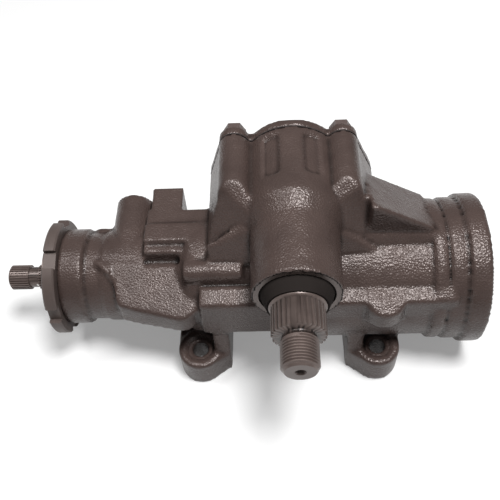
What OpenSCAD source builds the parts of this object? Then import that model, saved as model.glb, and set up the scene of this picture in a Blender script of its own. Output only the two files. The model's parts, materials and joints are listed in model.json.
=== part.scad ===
// Recirculating-ball power steering gear with a rack piston and a sector shaft.
// X runs along the worm towards the cylinder end, -Y is the pitman side, +Z is up.
// The origin is the centre of the four frame bolts, on the frame face.

/* [Frame mounting] */
// Height of the worm axis above the frame face
worm_h = 52; // [51:0.5:58]
// Distance between frame bolts along the worm
bolt_span_x = 121; // [117:0.5:126]
// Distance between frame bolts across the worm
bolt_span_y = 86; // [84:0.5:92]
// Radius of the tapped frame bolt holes
frame_hole_r = 5.55; // [4:0.05:7]
// Radius of each foot round its bolt
foot_r = 15; // [14:0.5:18]
// Height of the feet
foot_h = 24; // [18:0.5:26]
// Thickness of the rib beside each foot
foot_rib_t = 11; // [8:0.5:13]
// Distance of the sector axis from the middle of the bolts
sector_x = 5; // [4:0.2:10]

/* [Rack and sector] */
// Module of the rack and sector teeth
tooth_module = 6; // [5.8:0.05:6.1]
// Height of the rack pitch line above the worm axis
rack_h = 24; // [23.8:0.1:25.5]
// Pressure angle of the teeth
pressure_angle = 28; // [26:0.5:30]
// Width of the sector teeth
gear_face = 26; // [20:0.5:28]
// Swing of the sector to each side, in degrees
swing = 36; // [30:1:36]
// Backlash between rack and sector at the pitch line
backlash = 0.3; // [0.2:0.05:0.6]

/* [Sector shaft] */
// Radius of the sector shaft journals
journal_r = 17; // [16:0.25:18]
// Radius over the pitman spline
spline_r = 15.875; // [14:0.125:16]
// Length of the pitman spline
spline_len = 17; // [15:0.5:24]
// Radius of the pitman nut thread
nut_thread_r = 11.1; // [10:0.1:12]
// Length of the pitman nut thread
nut_thread_len = 19; // [14:0.5:24]
// Distance of the boss end from the worm axis
boss_reach = 55; // [52:0.5:58]
// Radius of the sector boss at its open end
boss_r = 27; // [26.5:0.25:29]
// Growth of the boss radius at its root, for draft
boss_draft = 0.7; // [0.3:0.1:2]

/* [Side cover] */
// Distance of the cover joint from the worm axis
joint_y = 52; // [50:0.5:55]
// Thickness of the cover flange
cover_t = 6; // [5:0.25:8]
// Thickness of the cover gasket
gasket_t = 0.8; // [0.4:0.1:1.5]
// Radius of the dome over the sector shaft
dome_r = 32; // [30:0.5:34]
// Radius of the four bolt columns
column_r = 10; // [9:0.25:11]
// Radius of the cover bolts
cover_bolt_r = 4.7; // [4:0.1:5]

/* [Power cylinder] */
// Radius of the cylinder bore
bore_r = 35; // [34.5:0.1:36]
// Thickness of the cylinder wall
barrel_wall = 9.5; // [8:0.25:10.5]
// Length of the rack piston
piston_len = 106; // [104:0.5:112]
// Distance from the sector axis to the worm end of the piston
piston_back = 38; // [37:0.5:40]
// Free length between the piston at full stroke and the end plug
head_gap = 17.5; // [6:0.5:24]
// Thickness of the cylinder end plug
end_plug_t = 11; // [9:0.5:12]
// Radius of the rim round the end plug
rim_r = 50; // [48:0.25:52]

/* [Ball screw] */
// Radius of the balls
ball_r = 3.4; // [3:0.05:3.5]
// Radius of the circle that the ball centres run on
ball_circle_r = 12; // [11.6:0.1:12.2]
// Clearance between a ball and its groove
groove_gap = 0.6; // [0.5:0.05:0.8]
// Turns of the worm for one turn of the sector
ratio = 17.5; // [16.5:0.1:18.5]

/* [Valve] */
// Radius of the valve bore
valve_bore_r = 25; // [24:0.1:25.5]
// Length of the valve body
valve_len = 46.5; // [44:0.5:52]
// Radius between the valve body and the spool
spool_r = 14.1; // [13:0.1:15]
// Thread radius of the adjuster plug
plug_r = 26.5; // [26:0.1:27]
// Length of the adjuster plug
plug_len = 38; // [36:0.5:42]
// Outside radius of the lock nut
lock_nut_r = 39; // [36:0.25:41]
// Thickness of the lock nut
lock_nut_t = 8; // [6:0.25:9]
// Length of the adjuster plug that stands out of the lock nut
plug_stand = 4; // [2:0.25:6]

/* [Stub shaft] */
// Radius of the stub shaft journal
stub_r = 9.5; // [9:0.1:10]
// Radius over the stub spline
stub_spline_r = 8.5; // [8:0.1:9]
// Length of the outer stub spline
stub_spline_len = 14; // [10:0.5:18]
// Length of the stub shaft outside the adjuster plug
stub_reach = 29.6; // [28:0.2:36]
// Radius of the torsion bar
torsion_r = 2.75; // [2.4:0.05:2.9]
// Free twist of the stub in the worm to each side, in degrees
valve_twist = 7; // [5:0.5:7]

/* [Ports] */
// Thread radius of the pressure port
pressure_r = 7; // [6:0.1:8]
// Thread radius of the return port
return_r = 7.6; // [6:0.1:8]
// Radius of the round pressure port boss
port_boss_r = 13.3; // [12:0.1:14.5]
// Reach of the port faces from the worm axis
port_reach = 46; // [44:0.5:50]

/* [Hidden] */
$fn = 64;

// Colours
iron = [0.34, 0.31, 0.30];
steel = [0.62, 0.61, 0.58];
dark_steel = [0.42, 0.41, 0.40];
zinc = [0.50, 0.51, 0.47];
rubber = [0.10, 0.10, 0.10];
bronze = [0.66, 0.50, 0.30];
tan_plastic = [0.60, 0.46, 0.30];
gasket_grey = [0.25, 0.27, 0.30];

// Fits
run_fit = 0.05;
seat_fit = 0.02;
air_gap = 0.3;
over = 1;

// Rack and sector
teeth_all = 10;
tooth_pitch = PI * tooth_module;
pitch_r = tooth_module * teeth_all / 2;
centre_dist = pitch_r + rack_h;
addendum = 0.7 * tooth_module;
dedendum = 0.82 * tooth_module;
sector_tip_r = pitch_r + addendum;
sector_root_r = pitch_r - dedendum;
rack_tip = rack_h + addendum;
rack_root = rack_h - dedendum;
tooth_step = 360 / teeth_all;
travel = pitch_r * swing * PI / 180;
gear_y0 = 0;
gear_y1 = gear_y0 + gear_face;
cavity_y0 = gear_y0 - 2;
cavity_r = sector_tip_r + 1.3;
cavity_top = 2;

// Stations along the worm, measured from the sector axis
piston_x0 = -piston_back;
piston_x1 = piston_x0 + piston_len;
stroke_gap = 3.15;
bore_x0 = piston_x0 - travel - stroke_gap;
seat_x = piston_x1 + travel + head_gap;
rim_x1 = seat_x + end_plug_t + 5.6;
barrel_r = bore_r + barrel_wall;
valve_wall = 6;
valve_x1 = bore_x0 - valve_wall;
race_t = 1;
roller_r = 0.95;
thrust_t = 2 * race_t + 2 * roller_r + 0.1;
worm_flange_x1 = valve_x1 - thrust_t - 0.15;
worm_flange_t = 7.3;
worm_flange_x0 = worm_flange_x1 - worm_flange_t;
valve_body_x1 = worm_flange_x0 - 0.5;
valve_body_x0 = valve_body_x1 - valve_len;
plug_x1 = valve_body_x0 - thrust_t - air_gap;
plug_x0 = plug_x1 - plug_len;
neck_x0 = plug_x0 + plug_stand + lock_nut_t;
stub_x0 = plug_x0 - stub_reach;

// Ball screw
lead = 2 * PI * pitch_r / ratio;
groove_r = ball_r + groove_gap;
worm_r = ball_circle_r - 0.4;
nut_r = ball_circle_r + 0.6;
thread_half = travel + lead + groove_r + 2;
worm_x1 = thread_half;
circuit_turns = 2;
circuit_half = circuit_turns * lead / 2;
steps_per_turn = 14;
groove_points = 18;
guide_bore_r = ball_r + 0.4;
guide_r = guide_bore_r + 0.9;
guide_drop = 2 * ball_circle_r;
guide_floor = 17.5;
piston_bore_x1 = worm_x1 + travel + 3;

// Shared helpers
module place() { translate([sector_x, 0, worm_h]) children(); }
module at_sector() { translate([0, 0, centre_dist]) children(); }
module along_x() { rotate([0, 90, 0]) children(); }
module along_y() { rotate([-90, 0, 0]) children(); }
module xcyl(x0, x1, r) { translate([x0, 0, 0]) along_x() cylinder(h = x1 - x0, r = r); }
module ycyl(y0, y1, r) { translate([0, y0, 0]) along_y() cylinder(h = y1 - y0, r = r); }
module xrev(profile) { along_x() rotate_extrude() polygon([for (p = profile) [p[1], p[0]]]); }
module yrev(profile) { along_y() rotate_extrude() polygon([for (p = profile) [p[1], p[0]]]); }
module xring(x0, x1, r0, r1) { xrev([[x0, r0], [x1, r0], [x1, r1], [x0, r1]]); }
module yring(y0, y1, r0, r1) { yrev([[y0, r0], [y1, r0], [y1, r1], [y0, r1]]); }
module yext(y0, y1) { translate([0, y1, 0]) rotate([90, 0, 0]) linear_extrude(y1 - y0) children(); }
module xtorus(x, ring_r, r) {
    along_x() translate([0, 0, x]) rotate_extrude() translate([ring_r, 0]) circle(r);
}
module box(x, y, z) { translate([x[0], y[0], z[0]]) cube([x[1] - x[0], y[1] - y[0], z[1] - z[0]]); }

// A toothed spline section with n teeth, of which every one in the list of gaps is left out
module spline_section(n, r_out, depth, gaps = []) {
    step = 360 / n;
    circle(r_out - depth);
    for (i = [0 : n - 1])
        if (len(search(i, gaps)) == 0)
            rotate(i * step)
                polygon([[r_out - 2 * depth, -0.42 * step * PI / 180 * r_out],
                         [r_out, -0.2 * step * PI / 180 * r_out],
                         [r_out, 0.2 * step * PI / 180 * r_out],
                         [r_out - 2 * depth, 0.42 * step * PI / 180 * r_out]]);
}

// Housing
neck_r = plug_r + 3.2;
neck_flange_r = neck_r + 2.8;
neck_flange_len = 15.5;
valve_wall_r = valve_bore_r + 6;
waist_r = barrel_r - 4.5;
waist_x = [-12, 8];
band_h = [2.6, 3.2];
band_x = [seat_x - 17, seat_x - 7.4];
band_w = [6.6, 8];
rim_x0 = seat_x + 3;
port_x = -110;
port_z = 18;
block_x = [-95.5, -74.5];
return_x = (block_x[0] + block_x[1]) / 2;
return_z = 22;
block_top = 36;
deck_x = [-97.5, -54];
deck_y = [0, 28];
patch_x1 = -62;
patch_back = 14.5;
patch_top = 39;
ledge_x1 = -73;
ledge_y0 = -7.7;
pocket_y0 = -12.7;
pocket_floor = 27.5;
passage_r = 7.5;
passage_at = [-20, 31];
passage_x = [-71, -33.5];
passage_leg_x = -65.5;
port_thread_len = 10;
port_seat_h = 7;
shelf_top = 25;
shelf_bottom = -8;
shelf_y = -43.5;
shelf_x = [-61, 100.5];
lug_r = 13.6;
lug_y = -37.8;
lug_z = [8, 24];
pad_z = 1;
pad_tilt = 20;
pad_crest = [-12.5, 29];
pad_corner = [-73.5, -36];
pad_corner_r = 10.5;
wall_x = [-55, 54];
wall_z = 44;
column_x = [-37, 32.5];
column_z = centre_dist + 17;
low_bolt_x = [-46, 43];
low_bolt_z = 16;
skirt_z = 4;
shoulder_y = [-10.5, 1.5];
roof_y = -13;
roof_z = 61;
roof_slope = 38;
facet_at = [[-40.8, 8.5, 79], [36.4, 7, 77.6]];
facet_turn = [[54, -36, 0], [57, 27.5, 0]];
front_pocket_x = [[-51, -30], [28, 47]];
front_pocket_z = [30, 58];
front_pocket_y = -7.5;
roof_cut = 120;
bolt_depth = 14;
gusset_y = [-6, 36];
gusset_foot = 20;
gusset_at = [57, -6, 69.5];
gusset_turn = [-19, 31, 0];
neck_boss_r = 6.5;
neck_boss_x = neck_x0 + 25;
neck_boss_turn = -57;
foot_x = [-sector_x - bolt_span_x / 2, -sector_x + bolt_span_x / 2];
foot_y = bolt_span_y / 2;
bearing_r = journal_r + 4.5;
seal_bore_r = boss_r - 1.7;
seal_ring_depth = 0.6;
seal_step = -boss_reach + 10;
bearing_y = [seal_step + 2, seal_step + 20];

// A slab with the outline of the cover joint, across the sector shaft
module joint_slab(y0, y1) {
    tuck = 1.5;
    chamfer = 10;
    shoulder_z = column_z + 3;
    at_sector() ycyl(y0, y1, dome_r);
    for (x = column_x) translate([x, 0, column_z]) ycyl(y0, y1, column_r);
    yext(y0, y1)
        polygon([[wall_x[0] + chamfer, skirt_z], [wall_x[0], skirt_z + chamfer], [wall_x[0], wall_z],
                 [column_x[0] - column_r + tuck, shoulder_z], [column_x[1] + column_r - tuck, shoulder_z],
                 [wall_x[1], wall_z], [wall_x[1], skirt_z + chamfer], [wall_x[1] - chamfer, skirt_z]]);
}

// Room for the sector teeth, seen along the sector shaft from its axis
module cavity_outline() {
    intersection() {
        circle(cavity_r);
        translate([-cavity_r, -cavity_r]) square([2 * cavity_r, cavity_r + cavity_top]);
    }
}

// Places of the four cover bolts, in the plane of the joint
module at_cover_bolts() {
    for (x = column_x) translate([x, 0, column_z]) children();
    for (x = low_bolt_x) translate([x, 0, low_bolt_z]) children();
}

// The casting round the worm axis: neck, valve section, cylinder, bands and rim
module housing_barrel() {
    neck_groove = neck_x0 + neck_flange_len;
    rim_low = barrel_r + 0.6;
    xrev([[neck_x0, 0], [neck_x0, neck_flange_r - 1.2], [neck_x0 + 1.2, neck_flange_r],
          [neck_groove, neck_flange_r], [neck_groove + 0.8, neck_r - 0.6],
          [neck_groove + 2.4, neck_r - 0.6], [neck_groove + 3, neck_r],
          [valve_body_x0 - 3, neck_r], [valve_body_x0 - 1, valve_wall_r],
          [valve_x1 - 12, valve_wall_r], [valve_x1 - 2, waist_r - 1], [bore_x0 - 2, waist_r],
          [waist_x[0], waist_r], [waist_x[1], barrel_r],
          [band_x[0] - 1, barrel_r], [band_x[0], barrel_r + band_h[0]],
          [band_x[0] + band_w[0], barrel_r + band_h[0]], [band_x[0] + band_w[0] + 0.8, rim_low],
          [band_x[1] - 0.8, rim_low], [band_x[1], barrel_r + band_h[1]],
          [band_x[1] + band_w[1], barrel_r + band_h[1]], [band_x[1] + band_w[1] + 0.8, rim_low],
          [rim_x0, rim_low], [rim_x0 + 1, rim_r], [rim_x1 - 1.2, rim_r],
          [rim_x1, rim_r - 1.2], [rim_x1, 0]]);
}

// The sector boss with its dome, and the chamber with its sloping roof
module housing_chamber() {
    at_sector()
        yrev([[-boss_reach, 0], [-boss_reach, boss_r - 0.8], [-boss_reach + 0.8, boss_r],
              [shoulder_y[0], boss_r + boss_draft], [shoulder_y[1], dome_r], [joint_y, dome_r],
              [joint_y, 0]]);
    difference() {
        joint_slab(roof_y, joint_y);
        translate([0, roof_y, roof_z]) rotate([roof_slope, 0, 0]) above();
        for (i = [0, 1]) translate(facet_at[i]) rotate(facet_turn[i]) above();
        for (span = front_pocket_x) box(span, [roof_y - over, front_pocket_y], front_pocket_z);
    }
}

// The half space above a plane, as a large block
module above() { box([-roof_cut, roof_cut], [-roof_cut, roof_cut], [0, roof_cut]); }

// Shelf along the front of the cylinder with its half-round lug
module housing_shelf() {
    end_w = 9;
    box(shelf_x, [shelf_y, 0], [shelf_bottom, shelf_top]);
    box([shelf_x[1] - end_w, shelf_x[1]], [shelf_y + 6, 0], [shelf_top - 1, shelf_top + 4]);
    translate([foot_x[1], lug_y, lug_z[0]]) cylinder(h = lug_z[1] - lug_z[0], r = lug_r);
}

// Flat pad that leans on the front of the valve section
module housing_pad() {
    inner_y = -10;
    side_x = pad_corner[0] + pad_corner_r;
    difference() {
        translate([0, 0, pad_z]) {
            linear_extrude(pad_crest[1])
                polygon([[-131, inner_y + 1], [-125.6, -14], [-117.3, -22], [-115.7, -32], [-113.8, -36.8],
                         [-105, -39.6], pad_corner + [-3.2, -10], pad_corner,
                         [side_x, pad_corner[1]], [side_x, inner_y]]);
            translate(pad_corner) cylinder(h = pad_crest[1], r = pad_corner_r);
        }
        translate([0, pad_crest[0], pad_crest[1]]) rotate([pad_tilt, 0, 0]) above();
    }
}

// One foot: boss round the bolt, web to the cylinder and a rib on the side of the sector
module foot(x, y) {
    side = y < 0 ? 1 : -1;
    inner = x < 0 ? 1 : -1;
    rib_x = 10;
    rib_toe = -foot_y - 4;
    rib_top = worm_h + shelf_bottom + 2;
    plate_h = foot_h - 2;
    root_y = -barrel_r * 0.4;
    translate([x, 0, -worm_h]) mirror([0, side < 0 ? 1 : 0, 0]) mirror([inner < 0 ? 1 : 0, 0, 0]) {
        translate([0, -foot_y, 0]) cylinder(h = foot_h, r = foot_r);
        box([-foot_r, foot_r], [-foot_y, root_y], [0, plate_h]);
        linear_extrude(plate_h)
            polygon([[0, -foot_y - foot_r + 0.2], [0.55 * foot_r, -foot_y - 0.83 * foot_r],
                     [rib_x + foot_rib_t, rib_toe + 1], [rib_x + foot_rib_t, root_y], [0, root_y]]);
        translate([rib_x, 0, 0]) rotate([90, 0, 90]) linear_extrude(foot_rib_t)
            polygon([[rib_toe, 0], [rib_toe, plate_h], [shelf_y + 1, rib_top],
                     [root_y, rib_top], [root_y, 0]]);
    }
}

// Port bosses and the raised deck between the valve and the chamber
module housing_ports() {
    translate([port_x, 0, port_z]) ycyl(0, port_reach, port_boss_r);
    box(block_x, [0, port_reach + 1], [0, block_top]);
    box(deck_x, deck_y, [0, block_top]);
    box([deck_x[0], patch_x1], [deck_y[0], patch_back], [0, patch_top]);
    box([deck_x[0], ledge_x1], [ledge_y0, deck_y[0] + over], [0, block_top]);
    translate([0, passage_at[0], passage_at[1]]) {
        xcyl(passage_x[0], passage_x[1], passage_r);
        translate([passage_leg_x, 0, 0]) ycyl(0, deck_y[0] + 4 - passage_at[0], passage_r - 0.5);
    }
    translate([neck_boss_x, 0, 0]) rotate([neck_boss_turn, 0, 0])
        cylinder(h = neck_r + 2.4, r = neck_boss_r);
}

// Dark pocket below the ledge, cut into the valve section
module ledge_pocket() {
    box([deck_x[0] - 1, ledge_x1 - 1], [pocket_y0, ledge_y0], [pocket_floor, block_top + over]);
}

// Gusset from the chamber wall to the cylinder bands, its top falling away to the back
module housing_gusset() {
    root_x = wall_x[1] - 8;
    tip_x = band_x[0] - 0.5;
    difference() {
        box([root_x, tip_x], gusset_y, [gusset_foot, wall_z + 30]);
        translate(gusset_at) rotate(gusset_turn) above();
    }
}

// Bores, cavities and tapped holes of the casting
module housing_inside() {
    xcyl(neck_x0 - over, plug_x1, plug_r);
    xcyl(plug_x1 - over, valve_x1, valve_bore_r);
    xcyl(valve_x1 - over, bore_x0 + over, worm_r + 2.4);
    xcyl(bore_x0, seat_x + over, bore_r);
    xcyl(seat_x, rim_x1 + over, bore_r + 3.5);
    xring(seat_x + end_plug_t + 0.6, seat_x + end_plug_t + 2.4, bore_r, bore_r + 5);
    at_sector() {
        yext(cavity_y0, joint_y + over) {
            cavity_outline();
            circle(bearing_r + 1);
        }
        ycyl(-boss_reach - over, cavity_y0 + over, bearing_r);
        ycyl(-boss_reach - over, seal_step, seal_bore_r);
        yring(-boss_reach + 1.2, -boss_reach + 2.8, seal_bore_r - over, seal_bore_r + seal_ring_depth);
        recess_panels();
    }
    ledge_pocket();
    at_cover_bolts() ycyl(joint_y - bolt_depth - 2, joint_y + over, cover_bolt_r + seat_fit);
    translate([port_x, 0, port_z]) port_hole(pressure_r, port_reach);
    translate([return_x, 0, return_z]) port_hole(return_r, port_reach + 1);
    for (x = foot_x)
        for (y = [-foot_y, foot_y]) {
            translate([x, y, -worm_h - over]) cylinder(h = foot_h + 2 * over, r = frame_hole_r);
            translate([x, y, -worm_h + foot_h - 1.5]) cylinder(h = 8, r = frame_hole_r + 4.5);
        }
}

// Threaded port, the pocket of its seat below it, and the way into the valve bore
module port_hole(r, reach) {
    ycyl(reach - port_thread_len, reach + over, r);
    ycyl(reach - port_thread_len - port_seat_h, reach, r - 1);
    ycyl(5, reach, 3.6);
}

// Two shallow panels in the dome
module recess_panels() {
    depth = 2.2;
    for (span = [[-18.7, -8.3], [6.9, 17.8]])
        yext(15, 48) intersection() {
            difference() {
                circle(dome_r + 2);
                circle(dome_r - depth);
            }
            translate([span[0], 0]) square([span[1] - span[0], dome_r + 4]);
        }
}

module gear_housing() {
    color(iron) place() difference() {
        union() {
            housing_barrel();
            housing_chamber();
            housing_shelf();
            housing_pad();
            housing_ports();
            housing_gusset();
            for (x = foot_x)
                for (y = [-foot_y, foot_y])
                    foot(x, y);
        }
        housing_inside();
    }
}

// Side cover, its gasket and fasteners
cover_y0 = joint_y + gasket_t;
cover_y1 = cover_y0 + cover_t;
bush_r = journal_r + 2.5;
spigot_r = bearing_r + 0.9;
spigot_y0 = gear_y1 + 4;
shaft_y1 = cover_y0 - 4;
bush_y1 = cover_y0 - 5;
crown_y = cover_y1 + 5;
nib_y = crown_y + 4;
lash_r = 4.7;
lash_head_r = 9;
lash_head_t = 4;
lash_neck = 4;

module side_cover() {
    color(iron) place() difference() {
        union() {
            joint_slab(cover_y0, cover_y1);
            at_sector() {
                ycyl(spigot_y0, cover_y0 + over, spigot_r);
                yrev([[cover_y1 - over, 0], [cover_y1 - over, 22], [cover_y1, 22], [crown_y, 18],
                      [crown_y, 12], [nib_y, 11], [nib_y, 0]]);
            }
        }
        at_sector() {
            ycyl(spigot_y0 - over, bush_y1, bush_r);
            ycyl(spigot_y0 - over, cover_y0 + 1, journal_r + 1);
            ycyl(cover_y0, nib_y + over, lash_r + seat_fit);
        }
        at_cover_bolts() ycyl(cover_y0 - over, cover_y1 + over, cover_bolt_r + 0.4);
    }
}

module side_cover_gasket() {
    color(gasket_grey) place() difference() {
        joint_slab(joint_y, cover_y0);
        at_sector() {
            yext(joint_y - over, cover_y0 + over) cavity_outline();
            ycyl(joint_y - over, cover_y0 + over, spigot_r + 0.1);
        }
        at_cover_bolts() ycyl(joint_y - over, cover_y0 + over, cover_bolt_r + 0.4);
    }
}

module side_cover_bolts() {
    head_h = 6.4;
    head_r = 7.6;
    color(dark_steel) place() at_cover_bolts() {
        ycyl(cover_y1, cover_y1 + 1.4, head_r + 0.9);
        translate([0, cover_y1, 0]) along_y() cylinder(h = head_h, r = head_r, $fn = 6);
        ycyl(joint_y - bolt_depth, cover_y1 + over, cover_bolt_r);
    }
}

// Lash adjuster: round head in the T slot of the sector shaft, screw through the cover
lash_head_y = shaft_y1 - lash_neck - lash_head_t;
module lash_adjuster_screw() {
    color(steel) place() at_sector() difference() {
        union() {
            ycyl(lash_head_y, lash_head_y + lash_head_t, lash_head_r);
            ycyl(lash_head_y + over, nib_y + 7, lash_r);
        }
        translate([0, nib_y + 7, 0]) along_y()
            cylinder(h = 6, r = 2.6, $fn = 6, center = true);
    }
}

module adjuster_locknut() {
    color(zinc) place() at_sector() difference() {
        translate([0, nib_y, 0]) along_y() cylinder(h = 4.6, r = 8.6, $fn = 6);
        ycyl(nib_y - over, nib_y + 6, lash_r + seat_fit);
    }
}

module cover_bush() {
    color(bronze) place() at_sector()
        yring(spigot_y0 + 0.5, bush_y1 - 0.1, journal_r + run_fit, bush_r - seat_fit);
}

// Sector shaft bearing and seals in the boss
needle_r = 1.5;
needle_count = 26;
shell_in_r = journal_r + 2 * needle_r + 2 * run_fit;

module sector_bearing_shell() {
    lip = 1.2;
    color(steel) place() at_sector()
        yrev([[bearing_y[0], journal_r + 0.6], [bearing_y[0], bearing_r - seat_fit],
              [bearing_y[1], bearing_r - seat_fit], [bearing_y[1], journal_r + 0.6],
              [bearing_y[1] - lip, journal_r + 0.6], [bearing_y[1] - lip, shell_in_r],
              [bearing_y[0] + lip, shell_in_r], [bearing_y[0] + lip, journal_r + 0.6]]);
}

module sector_needles() {
    color(steel) place() at_sector()
        for (i = [0 : needle_count - 1])
            rotate([0, i * 360 / needle_count, 0])
                translate([journal_r + run_fit + needle_r, 0, 0])
                    ycyl(bearing_y[0] + 1.4, bearing_y[1] - 1.4, needle_r);
}

seal_in_r = journal_r + run_fit;
dust_reach = 6.5;
module sector_oil_seal() {
    color(rubber) place() at_sector()
        yrev([[seal_step, seal_in_r + 3], [seal_step, seal_bore_r - seat_fit],
              [seal_step - 3, seal_bore_r - seat_fit], [seal_step - 3, seal_in_r],
              [seal_step - 1.6, seal_in_r]]);
}

module sector_seal_washer() {
    color(steel) place() at_sector()
        yring(seal_step - 4.2, seal_step - 3, journal_r + 0.4, seal_bore_r - 0.1);
}

module sector_dust_seal() {
    throat_r = seal_bore_r - 3.2;
    color(rubber) place() at_sector()
        yrev([[seal_step - 4.2, seal_in_r + 1], [seal_step - 4.2, seal_bore_r - seat_fit],
              [-boss_reach + 2.8, seal_bore_r - seat_fit], [-boss_reach + 2.8, throat_r],
              [-boss_reach - 1, throat_r - 1.4], [-boss_reach - dust_reach, seal_in_r + 1.2],
              [-boss_reach - dust_reach, seal_in_r], [seal_step - 6.4, seal_in_r]]);
}

module sector_retaining_ring() {
    color(dark_steel) place() at_sector() difference() {
        yring(-boss_reach + 1.3, -boss_reach + 2.7, seal_bore_r - 2.6, seal_bore_r + seal_ring_depth - 0.1);
        translate([0, -boss_reach + 2, -seal_bore_r]) cube([9, 4, 9], center = true);
    }
}

// Cylinder end plug, its seal and ring
plug_seat_r = bore_r + 3.5;
module end_plug() {
    face_x = seat_x + end_plug_t;
    groove = [seat_x + 3.6, seat_x + 6.8];
    color(iron) place()
        xrev([[seat_x, 0], [seat_x, plug_seat_r - 0.1], [groove[0], plug_seat_r - 0.1],
              [groove[0], plug_seat_r - 2.9], [groove[1], plug_seat_r - 2.9],
              [groove[1], plug_seat_r - 0.1], [face_x, plug_seat_r - 0.1],
              [face_x, plug_seat_r - 8], [face_x - 3, plug_seat_r - 11], [face_x - 3, 9],
              [face_x, 8], [face_x, 0]]);
}

module end_plug_oring() {
    color(rubber) place() xtorus(seat_x + 5.2, plug_seat_r - 1.4, 1.38);
}

module end_plug_retaining_ring() {
    color(dark_steel) place() difference() {
        xring(seat_x + end_plug_t + 0.7, seat_x + end_plug_t + 2.3, plug_seat_r - 2.4, plug_seat_r + 1.3);
        translate([seat_x + end_plug_t + 1.5, 0, plug_seat_r]) cube([4, 12, 9], center = true);
    }
}

// Adjuster plug with its bearing, seals and lock nut
stub_needle_r = 1.25;
stub_shell_r = stub_r + 3.8;
stub_seal_r = stub_r + 6.7;
seal_pocket = plug_x0 + 17;
stub_seal_t = 7;
stub_ring_t = 1.3;
stub_ring_x = seal_pocket - stub_seal_t - stub_ring_t - 1.7;
module adjuster_plug() {
    oring_x = plug_x1 - 5;
    color(dark_steel) place() difference() {
        xcyl(plug_x0, plug_x1, plug_r - seat_fit);
        xcyl(plug_x0 - over, seal_pocket, stub_seal_r);
        xcyl(plug_x0 - over, plug_x1 - 3, stub_shell_r);
        xcyl(plug_x0 - over, plug_x1 + over, stub_r + 0.7);
        xring(stub_ring_x - 0.1, stub_ring_x + stub_ring_t + 0.1, stub_seal_r - over, stub_seal_r + 1.1);
        xring(oring_x - 1.6, oring_x + 1.6, plug_r - 2.8, plug_r + over);
        for (a = [0, 180])
            rotate([a, 0, 0]) translate([plug_x0 - over, 0, (plug_r + stub_seal_r) / 2]) along_x()
                cylinder(h = 6, r = 2.6);
    }
}

module adjuster_plug_oring() {
    color(rubber) place() xtorus(plug_x1 - 5, plug_r - 1.4, 1.35);
}

module plug_locknut() {
    notches = 6;
    notch_w = 12;
    notch_d = 4;
    first_notch = 73;
    color(zinc) place() difference() {
        xrev([[neck_x0 - lock_nut_t, plug_r + seat_fit], [neck_x0, plug_r + seat_fit],
              [neck_x0, lock_nut_r - 1], [neck_x0 - 1, lock_nut_r],
              [neck_x0 - lock_nut_t + 1, lock_nut_r], [neck_x0 - lock_nut_t, lock_nut_r - 1]]);
        for (i = [0 : notches - 1])
            rotate([90 - first_notch + i * 360 / notches, 0, 0])
                translate([neck_x0 - lock_nut_t / 2, 0, lock_nut_r])
                    cube([lock_nut_t + 2, notch_w, 2 * notch_d], center = true);
    }
}

module stub_bearing_shell() {
    x0 = seal_pocket + 1.5;
    x1 = plug_x1 - 3;
    in_r = stub_r + 2 * stub_needle_r + 2 * run_fit;
    lip_r = stub_r + 0.5;
    lip = 1;
    color(steel) place()
        xrev([[x0, lip_r], [x0, stub_shell_r - seat_fit], [x1, stub_shell_r - seat_fit], [x1, lip_r],
              [x1 - lip, lip_r], [x1 - lip, in_r], [x0 + lip, in_r], [x0 + lip, lip_r]]);
}

module stub_needles() {
    count = 18;
    color(steel) place()
        for (i = [0 : count - 1])
            rotate([i * 360 / count, 0, 0])
                translate([0, 0, stub_r + run_fit + stub_needle_r])
                    xcyl(seal_pocket + 2.7, plug_x1 - 4.2, stub_needle_r);
}

module stub_seal() {
    lip_r = stub_r + run_fit;
    color(rubber) place()
        xrev([[seal_pocket, lip_r + 3], [seal_pocket, stub_seal_r - seat_fit],
              [seal_pocket - stub_seal_t, stub_seal_r - seat_fit], [seal_pocket - stub_seal_t, lip_r],
              [seal_pocket - 4, lip_r]]);
}

module stub_seal_ring() {
    color(dark_steel) place() difference() {
        xring(stub_ring_x, stub_ring_x + stub_ring_t, stub_seal_r - 2.2, stub_seal_r + 1);
        translate([stub_ring_x, 0, -stub_seal_r]) cube([4, 7, 7], center = true);
    }
}

// Thrust bearing: two races with a ring of radial rollers between them
module thrust_bearing(x0, r0, r1) {
    count = 20;
    mid = x0 + race_t + 0.05 + roller_r;
    xring(x0, x0 + race_t, r0, r1);
    xring(x0 + thrust_t - race_t, x0 + thrust_t, r0, r1);
    for (i = [0 : count - 1])
        rotate([i * 360 / count, 0, 0])
            translate([mid, 0, r0 + 1]) cylinder(h = r1 - r0 - 2, r = roller_r);
}

module upper_thrust_bearing() {
    color(steel) place() thrust_bearing(plug_x1, spool_r + 1.2, valve_bore_r - 1.2);
}

module lower_thrust_bearing() {
    color(steel) place() thrust_bearing(valve_x1 - thrust_t, worm_r + 3, valve_bore_r - 2);
}

// Flared seat pressed into the step of a port
module port_seat(r, reach) {
    floor_y = reach - port_thread_len - port_seat_h;
    out_r = r - 1 - seat_fit;
    yrev([[floor_y, 2.6], [floor_y, out_r], [floor_y + 4, out_r],
          [floor_y + port_seat_h, 3.4], [floor_y + port_seat_h, 2.6]]);
}

module pressure_port_seat() {
    color(bronze) place() translate([port_x, 0, port_z]) port_seat(pressure_r, port_reach);
}

module return_port_seat() {
    color(bronze) place() translate([return_x, 0, return_z]) port_seat(return_r, port_reach + 1);
}

// Sector shaft: involute teeth, journals, T slot, pitman spline and thread
base_r = pitch_r * cos(pressure_angle);
function inv(a) = tan(a) - a * PI / 180;
function flank_angle(r) = acos(min(1, base_r / r));
function half_tooth(r) = ((tooth_pitch - backlash) / 4 / pitch_r + inv(pressure_angle)
                          - inv(flank_angle(r))) * 180 / PI;
flank_steps = 6;
flank_r = [for (i = [0 : flank_steps]) base_r + (sector_tip_r - base_r) * i / flank_steps];
function at_angle(r, a) = [r * sin(a), -r * cos(a)];

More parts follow.
